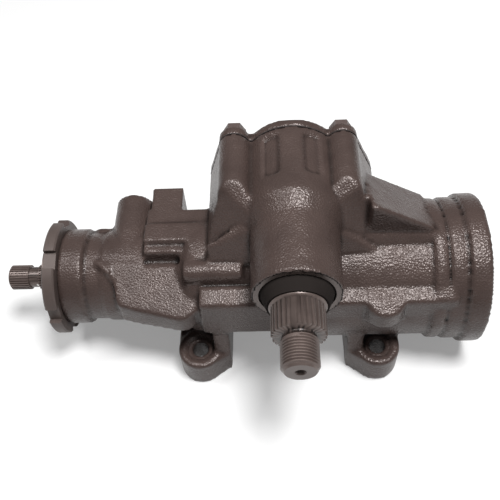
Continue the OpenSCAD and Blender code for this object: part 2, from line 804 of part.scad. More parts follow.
module sector_tooth(centre) {
    foot_half = half_tooth(base_r) + 1.5;
    polygon(concat(
        [at_angle(sector_root_r - 4, centre - foot_half)],
        [at_angle(sector_root_r, centre - foot_half)],
        [for (r = flank_r) at_angle(r, centre - half_tooth(r))],
        [for (i = [flank_steps : -1 : 0]) at_angle(flank_r[i], centre + half_tooth(flank_r[i]))],
        [at_angle(sector_root_r, centre + foot_half)],
        [at_angle(sector_root_r - 4, centre + foot_half)]));
}

module sector_web() {
    web_half = tooth_step + 14;
    intersection() {
        circle(sector_root_r);
        polygon(concat([[0, 0]], [for (a = [-web_half : web_half / 4 : web_half])
                                  at_angle(sector_root_r * 1.4, a)]));
    }
}

module sector_shaft() {
    spline_y1 = -boss_reach - dust_reach - 1.5;
    spline_y0 = spline_y1 - spline_len;
    thread_y1 = spline_y0 - 3;
    thread_y0 = thread_y1 - nut_thread_len;
    teeth = 32;
    master = [0, 8, 16, 24];
    color(steel) place() at_sector() difference() {
        union() {
            yext(gear_y0, gear_y1) {
                for (i = [-1 : 1]) sector_tooth(i * tooth_step);
                sector_web();
            }
            yrev([[thread_y0, 0], [thread_y0, nut_thread_r - 2], [thread_y0 + 2, nut_thread_r],
                  [thread_y1, nut_thread_r], [thread_y1 + 0.5, nut_thread_r - 1],
                  [spline_y0 + 1, nut_thread_r - 1], [spline_y0 + 1, spline_r - 3.2],
                  [spline_y1, spline_r - 3.2], [spline_y1, journal_r - 1], [spline_y1 + 1, journal_r],
                  [shaft_y1 - 1, journal_r], [shaft_y1, journal_r - 1], [shaft_y1, 0]]);
            yext(spline_y0, spline_y1 + 0.5) rotate(11.25) spline_section(teeth, spline_r, 1.2, master);
        }
        box([-journal_r - over, journal_r + over],
            [lash_head_y - air_gap, lash_head_y + lash_head_t + air_gap],
            [-lash_head_r - air_gap, lash_head_r + air_gap]);
        box([-journal_r - over, journal_r + over], [lash_head_y, shaft_y1 + over],
            [-lash_r - air_gap, lash_r + air_gap]);
        yrev([[thread_y0 - over, 0], [thread_y0 - over, 3.4], [thread_y0 + 2.4, 1.4], [thread_y0 + 5, 1.4],
              [thread_y0 + 6, 0]]);
    }
}

// Rack piston: the outline of its side, with the rack teeth, cut through a round bar
function rack_tooth(x) = let (tip = (tooth_pitch - backlash) / 4 - addendum * tan(pressure_angle),
                              root = (tooth_pitch - backlash) / 4 + dedendum * tan(pressure_angle))
    [[x - root, rack_root], [x - tip, rack_tip], [x + tip, rack_tip], [x + root, rack_root]];
function flatten(list) = [for (group = list) for (item = group) item];
piston_fit_r = bore_r - run_fit;
ring_x = piston_x1 - 14;
ring_w = 4;
ring_t = 2.1;
ring_groove = 4;
piston_plug_r = nut_r + 3.5;

module rack_outline() {
    shoulder_x = 2 * tooth_pitch + 1;
    polygon(concat(
        [[piston_x0, -bore_r], [piston_x1, -bore_r], [piston_x1, bore_r], [shoulder_x + 5, bore_r],
         [shoulder_x, rack_root + 6], [shoulder_x, rack_root]],
        flatten([for (i = [1.5 : -1 : -1.5])
            let (t = rack_tooth(i * tooth_pitch)) [t[3], t[2], t[1], t[0]]]),
        [[piston_x0, rack_root]]));
}

// Cross section of the ball groove in the worm and in the nut, seen along the axis
function groove_reach(a) = sqrt(max(0, pow(groove_r, 2) - pow(lead * a / 360, 2)));
module worm_section() {
    step = 360 / groove_points;
    polygon([for (i = [0 : groove_points - 1])
        let (a = i * step - 180, r = min(worm_r, ball_circle_r - groove_reach(a)))
            [r * cos(a), r * sin(a)]]);
}
module nut_section() {
    step = 360 / groove_points;
    polygon([for (i = [0 : groove_points - 1])
        let (a = i * step - 180, r = max(nut_r - 0.4, ball_circle_r + groove_reach(a)))
            [r * cos(a), r * sin(a)]]);
}
module helix(x0, x1) {
    along_x() translate([0, 0, x0]) rotate(360 * x0 / lead)
        linear_extrude(x1 - x0, twist = -360 * (x1 - x0) / lead, segments = groove_points,
                       slices = ceil((x1 - x0) / lead * steps_per_turn)) children();
}

module rack_piston() {
    color(dark_steel) place() difference() {
        intersection() {
            xcyl(piston_x0, piston_x1, piston_fit_r);
            yext(-bore_r - over, bore_r + over) rack_outline();
        }
        xcyl(piston_x0 - over, piston_bore_x1 + over, nut_r);
        helix(-circuit_half - lead / 2, circuit_half + lead / 2) nut_section();
        xcyl(piston_bore_x1, piston_x1 + over, piston_plug_r);
        xring(ring_x - ring_w / 2, ring_x + ring_w / 2, piston_fit_r - ring_groove, bore_r + over);
        box([-circuit_half - guide_r - 3, circuit_half + guide_r + 3], [-11.5, 11.5],
            [-bore_r - over, -guide_floor]);
        for (x = [-circuit_half, circuit_half])
            translate([x, 0, -guide_drop]) cylinder(h = guide_drop - 8, r = guide_r + seat_fit);
        at_guide_screws() translate([0, 0, -guide_floor - over]) cylinder(h = 4.5, r = 1.6 + seat_fit);
    }
}

module piston_ring() {
    ring_half = ring_w / 2 - 0.05;
    ring_out_r = bore_r - 0.03;
    color(tan_plastic) place()
        xring(ring_x - ring_half, ring_x + ring_half, ring_out_r - ring_t, ring_out_r);
}

module piston_ring_oring() {
    space = ring_groove - ring_t;
    color(rubber) place()
        xtorus(ring_x, piston_fit_r - ring_groove + space / 2, space / 2 - seat_fit);
}

module piston_end_plug() {
    color(dark_steel) place() difference() {
        xcyl(piston_bore_x1, piston_x1 - 0.5, piston_plug_r - seat_fit);
        translate([piston_x1 - 4, 0, 0]) along_x() cylinder(h = 6, r = 7, $fn = 4);
    }
}

// Balls: two turns in the groove and one row in the return guide
module worm_balls() {
    turn_balls = 20;
    row_pitch = 2 * ball_r + 0.4;
    leg_rise = 6;
    color(steel) place() {
        along_x() for (i = [0 : turn_balls - 1])
            let (z = -circuit_half + 2 * circuit_half * (i + 0.5) / turn_balls)
                rotate(360 * z / lead) translate([ball_circle_r, 0, z]) sphere(ball_r);
        for (s = [-1, 1]) translate([s * circuit_half, 0, leg_rise - guide_drop]) sphere(ball_r);
        for (i = [-1 : 1]) translate([i * row_pitch, 0, -guide_drop]) sphere(ball_r);
    }
}

module guide_run(r, top) {
    for (x = [-circuit_half, circuit_half]) {
        translate([x, 0, -guide_drop]) cylinder(h = guide_drop - top, r = r);
        translate([x, 0, -guide_drop]) sphere(r);
    }
    translate([0, 0, -guide_drop]) xcyl(-circuit_half, circuit_half, r);
}

module ball_return_guide() {
    color(zinc) place() difference() {
        guide_run(guide_r, ball_circle_r + ball_r);
        guide_run(guide_bore_r, nut_r);
    }
}

clamp_half = 10.5;
clamp_y = guide_r + 3.4;
clamp_low = guide_drop + guide_r;
module at_guide_screws() { for (y = [-clamp_y, clamp_y]) translate([0, y, 0]) children(); }

module guide_clamp() {
    color(zinc) place() difference() {
        union() {
            box([-5, 5], [-clamp_half, clamp_half], [-clamp_low - 1.5, -clamp_low]);
            for (y = [-clamp_y, clamp_y])
                box([-5, 5], [y - 2.4, y + 2.4], [-clamp_low - 0.5, -guide_floor]);
        }
        at_guide_screws() translate([0, 0, -clamp_low - 3]) cylinder(h = clamp_low, r = 1.6 + seat_fit);
    }
}

module guide_screws() {
    head_z = -clamp_low - 1.5;
    color(steel) place() at_guide_screws() {
        translate([0, 0, head_z - 1.6]) cylinder(h = 1.6, r = 2.6);
        translate([0, 0, head_z - over]) cylinder(h = clamp_low + 1.5 - guide_floor + 3 + over, r = 1.6);
    }
}

// Worm with ball groove, flange and the slot that stops the stub
slot_depth = 6.8;
tang_r = stub_r - 0.7;
tang_w = 9;
torsion_x1 = worm_flange_x1 + 24;
worm_pin_x = worm_flange_x1 + 12;
torsion_pin_r = 1.5;
drive_pin_r = 2;
drive_pin_at = valve_bore_r - 6;

module tang_slab(w, r, x0, x1) {
    intersection() {
        xcyl(x0, x1, r);
        box([x0, x1], [-w / 2, w / 2], [-r - over, r + over]);
    }
}

module worm() {
    slot_x1 = worm_flange_x0 + slot_depth;
    shank_r = worm_r - 0.7;
    color(steel) place() difference() {
        union() {
            helix(-thread_half, worm_x1) worm_section();
            xcyl(worm_flange_x1 - over, -thread_half + over, shank_r);
            xcyl(worm_flange_x0, worm_flange_x1, valve_bore_r - 2.5);
        }
        for (a = [-valve_twist - 0.8, valve_twist + 0.8])
            rotate([a, 0, 0]) tang_slab(tang_w + 0.3, tang_r + 0.3, worm_flange_x0 - over, slot_x1);
        xcyl(worm_flange_x0 - over, torsion_x1 + 0.2, torsion_r + seat_fit);
        translate([worm_pin_x, 0, 0]) ycyl(-worm_r - over, worm_r + over, torsion_pin_r + seat_fit);
        translate([0, 0, drive_pin_at])
            xcyl(worm_flange_x0 - over, worm_flange_x0 + 4, drive_pin_r + seat_fit);
    }
}

// Valve body with ring grooves, oil grooves and ports
valve_r = valve_bore_r - 0.08;
valve_ring_w = 2.4;
valve_ring_x = [for (i = [0 : 3]) valve_body_x0 + 4 + i * (valve_len - 8) / 3];
module valve_body() {
    oil_w = 6;
    color(dark_steel) place() difference() {
        xring(valve_body_x0, valve_body_x1, spool_r + run_fit, valve_r);
        for (x = valve_ring_x)
            xring(x - valve_ring_w / 2, x + valve_ring_w / 2, valve_r - 1.6, valve_r + over);
        for (i = [0 : 2]) {
            mid = (valve_ring_x[i] + valve_ring_x[i + 1]) / 2;
            xring(mid - oil_w / 2, mid + oil_w / 2, valve_r - 1.3, valve_r + over);
            for (a = [30 : 90 : 300])
                rotate([a, 0, 0]) translate([mid, 0, 0]) cylinder(h = valve_bore_r + over, r = 2);
        }
        translate([0, 0, drive_pin_at])
            xcyl(valve_body_x1 - 4, valve_body_x1 + over, drive_pin_r + seat_fit);
    }
}

module valve_body_rings() {
    half = valve_ring_w / 2 - 0.05;
    color(tan_plastic) place()
        for (x = valve_ring_x) xring(x - half, x + half, valve_r - 1.5, valve_bore_r - 0.03);
}

module valve_drive_pin() {
    color(steel) place() translate([0, 0, drive_pin_at])
        xcyl(valve_body_x1 - 3.8, worm_flange_x0 + 3.8, drive_pin_r);
}

module worm_pin() {
    color(steel) place() translate([worm_pin_x, 0, 0]) ycyl(-worm_r + 0.6, worm_r - 0.6, torsion_pin_r);
}

// Torsion bar: fast in the worm, with room round the stub pin for its twist
torsion_x0 = stub_x0 + stub_spline_len + 2;
stub_pin_x = torsion_x0 + 4;
module torsion_bar() {
    twist_room = 0.45;
    color(steel) place() difference() {
        xcyl(torsion_x0, torsion_x1, torsion_r);
        translate([stub_pin_x, 0, 0]) ycyl(-torsion_r - over, torsion_r + over, torsion_pin_r + twist_room);
        translate([worm_pin_x, 0, 0]) ycyl(-torsion_r - over, torsion_r + over, torsion_pin_r + seat_fit);
    }
}

// Stub shaft: two splines with a neck for the clamp bolt, journal and tang
stub_neck_r = stub_spline_r - 1.25;
tang_x1 = worm_flange_x0 + slot_depth - 0.4;
module stub_shaft() {
    teeth = 30;
    neck_x1 = stub_x0 + stub_spline_len + 6.7;
    second_x1 = neck_x1 + 4.5;
    journal_x1 = valve_body_x1 - 1;
    color(steel) place() difference() {
        union() {
            xrev([[stub_x0, 0], [stub_x0, stub_spline_r - 1.6], [stub_x0 + 1, stub_neck_r - 0.2],
                  [second_x1, stub_neck_r - 0.2], [second_x1 + 4, stub_r - 0.4], [plug_x0, stub_r],
                  [journal_x1, stub_r], [journal_x1, 0]]);
            for (span = [[stub_x0 + 1, stub_x0 + stub_spline_len], [neck_x1, second_x1]])
                translate([span[0], 0, 0]) along_x() linear_extrude(span[1] - span[0])
                    spline_section(teeth, stub_spline_r, 0.8);
            tang_slab(tang_w, tang_r, journal_x1 - over, tang_x1);
        }
        xcyl(torsion_x0 - 1, tang_x1 + over, torsion_r + 0.35);
        translate([stub_pin_x, 0, 0]) ycyl(-stub_spline_r, stub_spline_r, torsion_pin_r + seat_fit);
        translate([spool_pin_x, 0, 0]) cylinder(h = spool_r, r = torsion_pin_r + seat_fit);
    }
}

module stub_pin() {
    color(steel) place() translate([stub_pin_x, 0, 0])
        ycyl(-stub_neck_r + 0.4, stub_neck_r - 0.4, torsion_pin_r);
}

// Spool with oil slots, pinned to the stub
spool_pin_x = valve_body_x0 + 6;
module spool_valve() {
    slots = 6;
    slot_len = 14;
    mid = (valve_body_x0 + valve_body_x1) / 2;
    color(steel) place() difference() {
        xring(valve_body_x0 + 2.5, valve_body_x1 - 3, stub_r + seat_fit, spool_r - 0.02);
        for (i = [0 : slots - 1])
            rotate([(i + 0.5) * 360 / slots, 0, 0])
                box([mid - slot_len / 2, mid + slot_len / 2], [-1.6, 1.6], [spool_r - 1, spool_r + over]);
        translate([spool_pin_x, 0, 0]) cylinder(h = spool_r + over, r = torsion_pin_r + seat_fit);
    }
}

module spool_pin() {
    color(steel) place() translate([spool_pin_x, 0, stub_r - 3])
        cylinder(h = spool_r - stub_r + 2.5, r = torsion_pin_r);
}

gear_housing();
side_cover();
side_cover_gasket();
side_cover_bolts();
lash_adjuster_screw();
adjuster_locknut();
cover_bush();
sector_bearing_shell();
sector_needles();
sector_oil_seal();
sector_seal_washer();
sector_dust_seal();
sector_retaining_ring();
end_plug();
end_plug_oring();
end_plug_retaining_ring();
adjuster_plug();
adjuster_plug_oring();
plug_locknut();
stub_bearing_shell();
stub_needles();
stub_seal();
stub_seal_ring();
upper_thrust_bearing();
lower_thrust_bearing();
pressure_port_seat();
return_port_seat();
sector_shaft();
rack_piston();
piston_ring();
piston_ring_oring();
piston_end_plug();
worm_balls();
ball_return_guide();
guide_clamp();
guide_screws();
worm();
valve_body();
valve_body_rings();
valve_drive_pin();
worm_pin();
torsion_bar();
stub_shaft();
spool_valve();
spool_pin();
stub_pin();
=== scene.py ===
# %% [markdown]
# # A recirculating-ball steering gear
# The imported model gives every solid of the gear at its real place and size, in metres. It stays as it is
# and acts as a fixed frame. This file dresses it: the castings get the soft edges and the pebbled skin of
# sand-cast iron, the pitman shaft gets a real thread, and every other solid gets its own finish.

# %% Load the frame
import json
import math

import bmesh
import bpy
from mathutils import Matrix, Vector, noise


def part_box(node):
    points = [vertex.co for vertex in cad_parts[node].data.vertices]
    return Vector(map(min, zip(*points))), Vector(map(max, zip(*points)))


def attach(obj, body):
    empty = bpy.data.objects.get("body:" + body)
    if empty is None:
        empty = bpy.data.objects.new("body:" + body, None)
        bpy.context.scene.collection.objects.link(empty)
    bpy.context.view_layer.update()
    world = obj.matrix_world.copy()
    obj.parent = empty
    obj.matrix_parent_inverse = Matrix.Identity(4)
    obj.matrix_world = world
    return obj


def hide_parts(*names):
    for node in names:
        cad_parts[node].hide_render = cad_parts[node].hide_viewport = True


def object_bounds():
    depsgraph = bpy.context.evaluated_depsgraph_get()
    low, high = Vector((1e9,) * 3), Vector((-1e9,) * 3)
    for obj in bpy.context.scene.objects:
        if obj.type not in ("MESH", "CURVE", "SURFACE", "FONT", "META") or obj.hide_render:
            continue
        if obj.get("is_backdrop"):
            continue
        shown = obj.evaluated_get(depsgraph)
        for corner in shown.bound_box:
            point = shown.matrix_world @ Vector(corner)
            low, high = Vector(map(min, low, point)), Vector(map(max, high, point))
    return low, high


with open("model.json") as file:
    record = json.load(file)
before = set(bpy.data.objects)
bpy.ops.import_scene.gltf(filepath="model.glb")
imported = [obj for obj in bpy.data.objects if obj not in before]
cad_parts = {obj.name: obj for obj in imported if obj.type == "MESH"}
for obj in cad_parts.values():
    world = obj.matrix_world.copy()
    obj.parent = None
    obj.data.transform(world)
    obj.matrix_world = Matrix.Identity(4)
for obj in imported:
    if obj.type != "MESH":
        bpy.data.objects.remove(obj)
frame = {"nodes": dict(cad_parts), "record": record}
nodes = frame["nodes"]
cad_low, cad_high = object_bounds()
print("solids loaded:", len(nodes))

# %% [markdown]
# Two lines order the whole gear. The worm axis runs along X, and the sector shaft crosses above it along Y.
# The casting and its bores are easiest to describe by the distance from these two lines, so the helpers
# below give a point's place along the worm and its distance from each line, in millimetres.

# %% Axes of the gear
MM = 0.001
SECTOR_X = 5.0
WORM_Z = 52.0
SECTOR_Z = 106.0


def along_worm(co):
    """Place along the worm axis, counted from the sector axis."""
    return co.x / MM - SECTOR_X


def from_worm(co):
    """Distance from the worm axis."""
    return math.hypot(co.y / MM, co.z / MM - WORM_Z)


def from_sector(co):
    """Distance from the sector axis."""
    return math.hypot(co.x / MM - SECTOR_X, co.z / MM - SECTOR_Z)


print("the sector axis lies", SECTOR_Z - WORM_Z, "mm above the worm axis")

# %% [markdown]
# Two helpers serve every new piece. A solid of the frame comes as loose triangles, so a copy of it is
# merged before it is worked on. A finished bmesh becomes an object at the origin that holds its place in
# its mesh, as every solid of the frame does.

# %% Copies and pieces
MERGE_GAP = 0.001 * MM


def merged_copy(node):
    """A bmesh with a merged copy of a solid of the frame."""
    bm = bmesh.new()
    bm.from_mesh(nodes[node].data)
    bmesh.ops.remove_doubles(bm, verts=bm.verts, dist=MERGE_GAP)
    return bm


def new_piece(name, bm):
    """A mesh object at the origin, made from a bmesh."""
    mesh = bpy.data.meshes.new(name)
    bm.to_mesh(mesh)
    bm.free()
    piece = bpy.data.objects.new(name, mesh)
    bpy.context.scene.collection.objects.link(piece)
    return piece


housing_form = merged_copy("gear_housing")
print("faces of the housing solid:", len(housing_form.faces))

# %% [markdown]
# The mould gives the housing a few forms that its solid keeps simple. The shelf beside the barrel has a
# thick top that climbs at its end, wide fillets run down from the chamber on both sides of the boss, and a
# small one follows the foot of the gusset. Each is a closed block that overlaps the solid: an outline in Y
# and Z, extruded along X, that may shrink towards its first corner on the way. A remesh further down melts
# solid and blocks into one skin, which is easier than cutting the forms into the housing face by face.

# %% Blocks of the mould
SHELF_TOP = [(-43.5, 68), (-43.5, 78.4), (-31, 82), (-36, 68)]
SHELF_END = [(-43.2, 72), (-43.2, 79), (-29, 86), (-33.5, 72)]
LEFT_FILLET = [(-4, 86), (-4, 117), (-9, 113), (-18.5, 91), (-18.5, 86)]
RIGHT_FILLET = [(-4, 86), (-4, 113), (-9, 111), (-17.5, 91), (-17.5, 86)]
GUSSET_FILLET = [(-4, 88), (-4, 104), (-7.5, 101.5), (-12, 94.4), (-12, 88)]


def cast_block(bm, outline, x0, x1, end_scale=1.0):
    """Adds a closed block with an outline in Y and Z, whose far end may be smaller."""
    start = bm.faces.new([bm.verts.new(Vector((x0, y, z)) * MM) for y, z in outline])
    grown = bmesh.ops.extrude_face_region(bm, geom=[start])["geom"]
    end = [v for v in grown if isinstance(v, bmesh.types.BMVert)]
    first_corner = Matrix.Translation(-end[0].co)
    bmesh.ops.scale(bm, verts=end, vec=(1, end_scale, end_scale), space=first_corner)
    bmesh.ops.translate(bm, verts=end, vec=((x1 - x0) * MM, 0, 0))
    block = {f for v in end for f in v.link_faces} | {start}
    bmesh.ops.recalc_face_normals(bm, faces=list(block))


cast_block(housing_form, SHELF_TOP, x0=-56, x1=105.3)
cast_block(housing_form, SHELF_END, x0=92.5, x1=103)
cast_block(housing_form, LEFT_FILLET, x0=-20, x1=-50, end_scale=0.5)
cast_block(housing_form, RIGHT_FILLET, x0=28, x1=64, end_scale=0.12)
cast_block(housing_form, GUSSET_FILLET, x0=40, x1=95, end_scale=0.8)
print("faces with the blocks:", len(housing_form.faces))

# %% [markdown]
# A half-round lug stands in front of the shelf, and its top falls away to the front. It starts as a short
# cylinder. An upright plane cuts off its back, which would stand above the shelf, and a leaning plane makes
# the slope. bisect_plane drops what lies beyond the plane but leaves the cut open, so its rim is filled:
# the remesh needs closed shells.

# %% Lug of the shelf
LUG_X = 60.5
LUG_R = 13.6
LUG_HEIGHT = 20.0
LUG_CENTRE = (LUG_X, -37.8, 73.0)
LUG_BACK = (LUG_X, -42.0, 73.0)
LUG_TOP = (LUG_X, -43.5, 78.6)
TO_BACK = (0, 1, 0)
UP_AND_FRONT = (0, -0.42, 0.9075)


def sliced(bm, parts, place, away):
    """Cuts a closed shell with a plane, drops what lies beyond it and closes the cut."""
    faces = list({f for v in parts for f in v.link_faces})
    edges = list({e for f in faces for e in f.edges})
    cut = bmesh.ops.bisect_plane(bm, geom=parts + edges + faces, plane_co=Vector(place) * MM,
                                 plane_no=away, clear_outer=True)
    rim = [e for e in cut["geom_cut"] if isinstance(e, bmesh.types.BMEdge)]
    bmesh.ops.edgeloop_fill(bm, edges=rim)
    kept = {v for v in parts if v.is_valid} | {v for e in rim for v in e.verts}
    return list(kept)


lug = bmesh.ops.create_cone(housing_form, cap_ends=True, segments=48, radius1=LUG_R * MM,
                            radius2=LUG_R * MM, depth=LUG_HEIGHT * MM,
                            matrix=Matrix.Translation(Vector(LUG_CENTRE) * MM))
lug_front = sliced(housing_form, lug["verts"], LUG_BACK, TO_BACK)
lug_corners = sliced(housing_form, lug_front, LUG_TOP, UP_AND_FRONT)
print("corners of the lug:", len(lug_corners))

# %% [markdown]
# A sand casting has no sharp edge: metal flows round every corner of the mould, and the pattern maker puts
# a fillet in every inner corner. Beveling each edge of the solid by hand would be slow and would break
# where five shapes meet. A voxel remesh gives one even skin instead. It leaves small steps on slanting
# faces, so a shrinkwrap lays the skin back on the true faces, and a little smoothing then rounds the outer
# and inner corners alike. Surfaces that a tool has cut must stay true, so the smoothing leaves them out.
# The raw ones also waver a little, as a sand mould does.

# %% Cast skin
WAVER_DEPTH = 0.16 * MM
WAVER_SIZE = 7 * MM


def voxel_skin(piece, voxel):
    """Remeshes a piece into one even skin, lays it back on the true faces and returns it as a bmesh."""
    solid = piece.copy()
    bpy.context.scene.collection.objects.link(solid)
    remesh = piece.modifiers.new("skin", "REMESH")
    remesh.mode = "VOXEL"
    remesh.voxel_size = voxel
    piece.modifiers.new("lay_back", "SHRINKWRAP").target = solid
    graph = bpy.context.evaluated_depsgraph_get()
    skin = bpy.data.meshes.new_from_object(piece.evaluated_get(graph))
    piece.modifiers.clear()
    bpy.data.objects.remove(solid)
    bm = bmesh.new()
    bm.from_mesh(skin)
    bpy.data.meshes.remove(skin)
    return bm


def soften(bm, cast, rounds):
    """Rounds the corners of the skin at its cast vertices."""
    for _ in range(rounds):
        bmesh.ops.smooth_vert(bm, verts=cast, factor=0.5,
                              use_axis_x=True, use_axis_y=True, use_axis_z=True)


def waver(bm, cast):
    """Moves the cast vertices a little along their normals."""
    bm.normal_update()
    shifts = [noise.noise(v.co / WAVER_SIZE) * WAVER_DEPTH for v in cast]
    for v, shift in zip(cast, shifts):
        v.co += v.normal * shift


print("waver of cast faces, in mm:", WAVER_DEPTH / MM)

# %% [markdown]
# The gear housing is one casting: the long cylinder with the valve neck, the sector chamber above it, the
# boss for the pitman shaft, four feet and two port bosses. A workshop then cuts the frame faces, the cover
# joint, the boss end, the port faces and both ends of the barrel. Flat cuts are found by a place along one
# axis, and most of these places are the ends of solids that fit there, so the frame gives them.

# %% Machined faces of the housing
X_AXIS, Y_AXIS = 0, 1
TOUCH = 0.45
BOSS_END = -55.0
BOSS_ZONE_R = 29.0
PORT_X = -70.0
PORT_Y = 46.0


def span(node, axis):
    """Lowest and highest place of a solid of the frame along an axis, in millimetres."""
    low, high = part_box(node)
    return round(low[axis] / MM, 2), round(high[axis] / MM, 2)


NECK_END, RIM_END = (x - SECTOR_X for x in span("gear_housing", X_AXIS))
JOINT_Y, COVER_Y = span("side_cover_gasket", Y_AXIS)


def on_cut_face(co):
    """True on the flat faces that are cut after casting."""
    x, y, z = along_worm(co), co.y / MM, co.z / MM
    frame_or_joint = z < TOUCH or y > JOINT_Y - TOUCH
    boss = y < BOSS_END + TOUCH and from_sector(co) < BOSS_ZONE_R
    barrel_end = x > RIM_END - TOUCH or x < NECK_END + TOUCH
    port = x < PORT_X and y > PORT_Y - TOUCH
    return frame_or_joint or boss or barrel_end or port


print("barrel from", NECK_END, "to", RIM_END, "mm, cover joint at Y", JOINT_Y)

# %% [markdown]
# Bores are found by the distance from an axis instead. Along the worm lie the seat of the end plug, the
# cylinder, the valve bore and the thread of the adjuster plug, each with its own radius. Across it run the
# bearing and the seal of the pitman shaft, and the cavity in which the sector teeth swing. Each radius here
# is a little larger than the bore, so that the rim of the bore counts as cut too.

# %% Machined bores of the housing
RIM_WIDTH = 1.0
SEAT_X = span("end_plug", X_AXIS)[0] - SECTOR_X
BORE_START = -60.0
PLUG_END = span("adjuster_plug", X_AXIS)[1] - SECTOR_X
SEAT_ZONE_R = 40.6
CYLINDER_ZONE_R = 35.6
VALVE_ZONE_R = 25.6
PLUG_ZONE_R = 27.2
BORE_ZONES = ((SEAT_X, SEAT_ZONE_R), (BORE_START, CYLINDER_ZONE_R), (PLUG_END, VALVE_ZONE_R),
              (NECK_END, PLUG_ZONE_R))
BEARING_ZONE_R = 22.2
SEAL_ZONE_R = 26.2
SEAL_DEPTH = 11.0
TOOTH_ZONE_R = 36.2
TOOTH_START = -2.6
TOOTH_ROOF = SECTOR_Z + 2.6
FOOT_X = (-65.5, 55.5)
FOOT_Y = 43.0
FOOT_TOP = 26.0
FOOT_ZONE_R = 10.4


def in_bore(co):
    """True inside the bores along the worm and along the sector shaft."""
    x, y, r = along_worm(co), co.y / MM, from_sector(co)
    zone_r = next(zone_r for start, zone_r in BORE_ZONES if x > start - RIM_WIDTH)
    seal = y < BOSS_END + SEAL_DEPTH and r < SEAL_ZONE_R
    teeth = y > TOOTH_START and r < TOOTH_ZONE_R and co.z / MM < TOOTH_ROOF
    return from_worm(co) < zone_r or seal or r < BEARING_ZONE_R or teeth


def at_foot_hole(co):
    """True in the frame bolts' holes in the four feet."""
    x, y = along_worm(co), abs(co.y / MM)
    off_hole = min(math.hypot(x - foot, y - FOOT_Y) for foot in FOOT_X)
    return co.z / MM < FOOT_TOP and off_hole < FOOT_ZONE_R


def housing_cut(co):
    """True wherever a tool has cut the housing."""
    return on_cut_face(co) or in_bore(co) or at_foot_hole(co)


print("bores along the worm start at", [start for start, _ in BORE_ZONES])

# %% [markdown]
# With the cut surfaces known, the housing's skin can be made. A fine voxel keeps its panels, bands and ribs
# crisp, and two rounds of smoothing are enough to take the edges off. The skin then stands for the solid,
# which is no longer shown.

# %% Skin of the housing
HOUSING_VOXEL = 1.62 * MM


def cast_piece(name, node, form, voxel, rounds, cut):
    """A cast skin, made from a form, that stands for a solid of the frame."""
    piece = new_piece(name, form)
    bm = voxel_skin(piece, voxel)
    cast = [v for v in bm.verts if not cut(v.co)]
    soften(bm, cast, rounds)
    waver(bm, cast)
    for face in bm.faces:
        face.smooth = True
    bm.to_mesh(piece.data)
    bm.free()
    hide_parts(node)
    print(name, "faces:", len(piece.data.polygons))
    return piece


housing = cast_piece("cast_housing", "gear_housing", housing_form, HOUSING_VOXEL, rounds=2,
                     cut=housing_cut)

# %% [markdown]
# The rack piston and the valve body run in their bores with only hundredths of a millimetre to spare, and
# the flat facets of a skin would cut into them. So the vertices on these two walls are set to the true
# radius and a little room, by scaling their distance from the worm axis.

# %% Bore walls of the housing
BORE_ROOM = 0.12
BORE_R = 35.0
VALVE_BORE_R = 25.0
BELOW_WALL, ABOVE_WALL = 1.2, 0.6
END_GAP = 0.3
VALVE_START_GAP, VALVE_END_GAP = 2.0, 8.0


def clear_bore(piece, x0, x1, r):
    """Sets the wall of a bore along the worm to its radius and a little room."""
    wall = [v for v in piece.data.vertices if x0 < along_worm(v.co) < x1
            and r - BELOW_WALL < from_worm(v.co) < r + ABOVE_WALL]
    for v in wall:
        grow = (r + BORE_ROOM) / from_worm(v.co)
        v.co.y *= grow
        v.co.z = WORM_Z * MM + (v.co.z - WORM_Z * MM) * grow
    print("bore of radius", r, "mm: vertices set", len(wall))


clear_bore(housing, BORE_START - END_GAP, SEAT_X - END_GAP, BORE_R)
clear_bore(housing, PLUG_END + VALVE_START_GAP, BORE_START - VALVE_END_GAP, VALVE_BORE_R)
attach(housing, "housing")

# %% [markdown]
# The side cover is a small casting of the same iron. Its joint face and spigot are machined, and so is the
# thread for the lash screw in its middle. It gets the same skin as the housing, from a finer voxel.

# %% Side cover
COVER_VOXEL = 1.2 * MM
LASH_ZONE_R = 7.0


def cover_cut(co):
    """True on the joint face, the spigot and the thread of the cover."""
    return co.y / MM < COVER_Y + TOUCH or from_sector(co) < LASH_ZONE_R


cover = cast_piece("cast_cover", "side_cover", merged_copy("side_cover"), COVER_VOXEL, rounds=3,
                   cut=cover_cut)
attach(cover, "housing")

# %% [markdown]
# The pitman shaft ends in a fine thread for the arm's nut. The solid has a plain round end at the thread's
# outer radius, which hides what makes a thread look like one: the light that breaks on its flanks. A new
# end is made in two steps. A slimmer core, with its chamfer and the lathe's centre hole, is turned from a
# profile by a full spin.

# %% Core of the thread
THREAD_START = -82.7
THREAD_END = span("sector_shaft", Y_AXIS)[0]
CORE_START = THREAD_START + 0.1
CORE_R = 10.0
CHAMFER_R, CHAMFER_START = 9.0, -100.7
CENTRE_R = 3.4
DRILL_R, DRILL_START, DRILL_END, DRILL_TIP = 1.4, -99.6, -97.0, -96.0
CORE_PROFILE = [(0, CORE_START), (CORE_R, CORE_START), (CORE_R, CHAMFER_START), (CHAMFER_R, THREAD_END),
                (CENTRE_R, THREAD_END), (DRILL_R, DRILL_START), (DRILL_R, DRILL_END), (0, DRILL_TIP)]
shaft_axis = Vector((SECTOR_X, 0, SECTOR_Z)) * MM


def on_shaft(profile):
    """The points of a profile of radii and places, straight above the sector axis."""
    return [Vector((SECTOR_X, y, SECTOR_Z + r)) * MM for r, y in profile]


def turned(bm, profile, steps):
    """Spins an open profile once round the sector axis."""
    verts = [bm.verts.new(point) for point in on_shaft(profile)]
    edges = [bm.edges.new(pair) for pair in zip(verts, verts[1:])]
    bmesh.ops.spin(bm, geom=verts + edges, cent=shaft_axis, axis=(0, 1, 0), angle=2 * math.pi,
                   steps=steps, use_merge=True, use_normal_flip=False, use_duplicate=False)


thread = bmesh.new()
turned(thread, CORE_PROFILE, steps=64)
print("faces of the core:", len(thread.faces))

